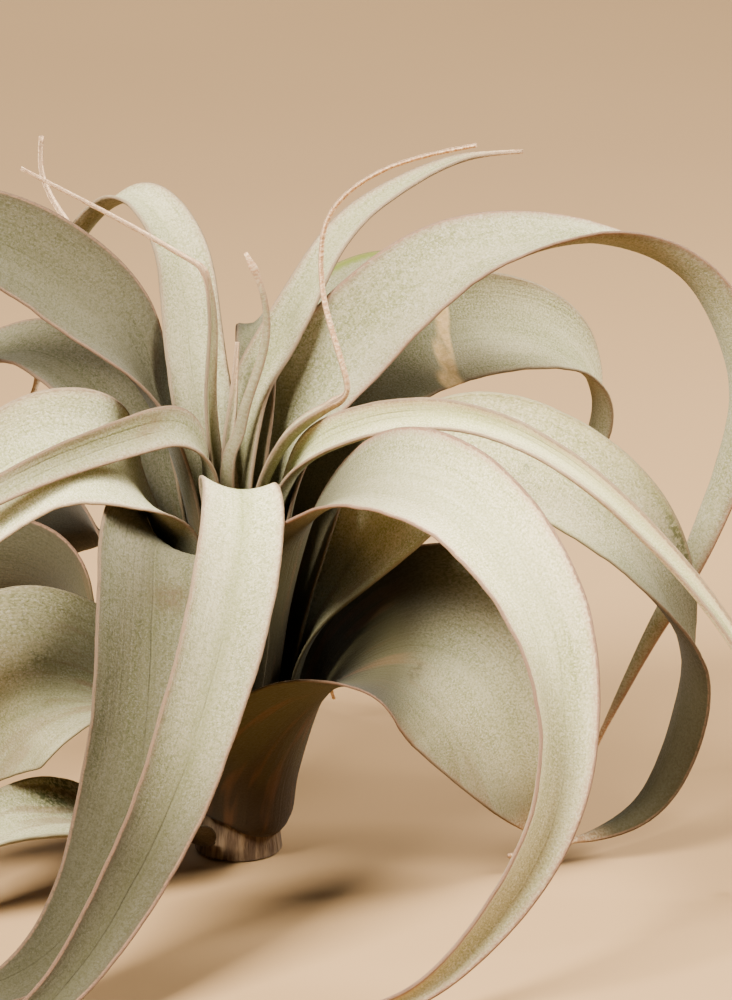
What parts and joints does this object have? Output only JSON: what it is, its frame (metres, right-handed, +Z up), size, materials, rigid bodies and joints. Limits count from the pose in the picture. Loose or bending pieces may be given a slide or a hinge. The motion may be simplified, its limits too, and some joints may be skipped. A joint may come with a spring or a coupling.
{
  "type": "air plant",
  "caption": "Rootless rosette of silvery ribbon leaves that wrap a short stem, arch outwards and curl down to thin dried tips, standing on a flat stem foot.",
  "frame": {"origin": "centre of the flat foot of the stem, on the surface the plant stands on", "axes": "+Z up along the stem, -Y towards the front of the plant, +X to its right"},
  "size_m": [0.2242, 0.2101, 0.1474],
  "materials": {
    "leaf": "matt, silvery grey-green with a fine scaly bloom",
    "stem": "matt, dry and fibrous"
  },
  "bodies": {
    "root": {"stem": "stem", "leaf_01": "leaf", "leaf_02": "leaf", "leaf_03": "leaf", "leaf_04": "leaf", "leaf_05": "leaf", "leaf_06": "leaf", "leaf_07": "leaf", "leaf_08": "leaf", "leaf_09": "leaf", "leaf_10": "leaf", "leaf_11": "leaf", "leaf_12": "leaf", "leaf_13": "leaf", "leaf_14": "leaf", "leaf_15": "leaf", "leaf_16": "leaf", "leaf_17": "leaf", "leaf_18": "leaf", "leaf_19": "leaf", "leaf_20": "leaf", "leaf_21": "leaf", "leaf_22": "leaf", "leaf_23": "leaf", "leaf_24": "leaf", "leaf_25": "leaf", "leaf_26": "leaf", "leaf_27": "leaf"}
  },
  "joints": []
}
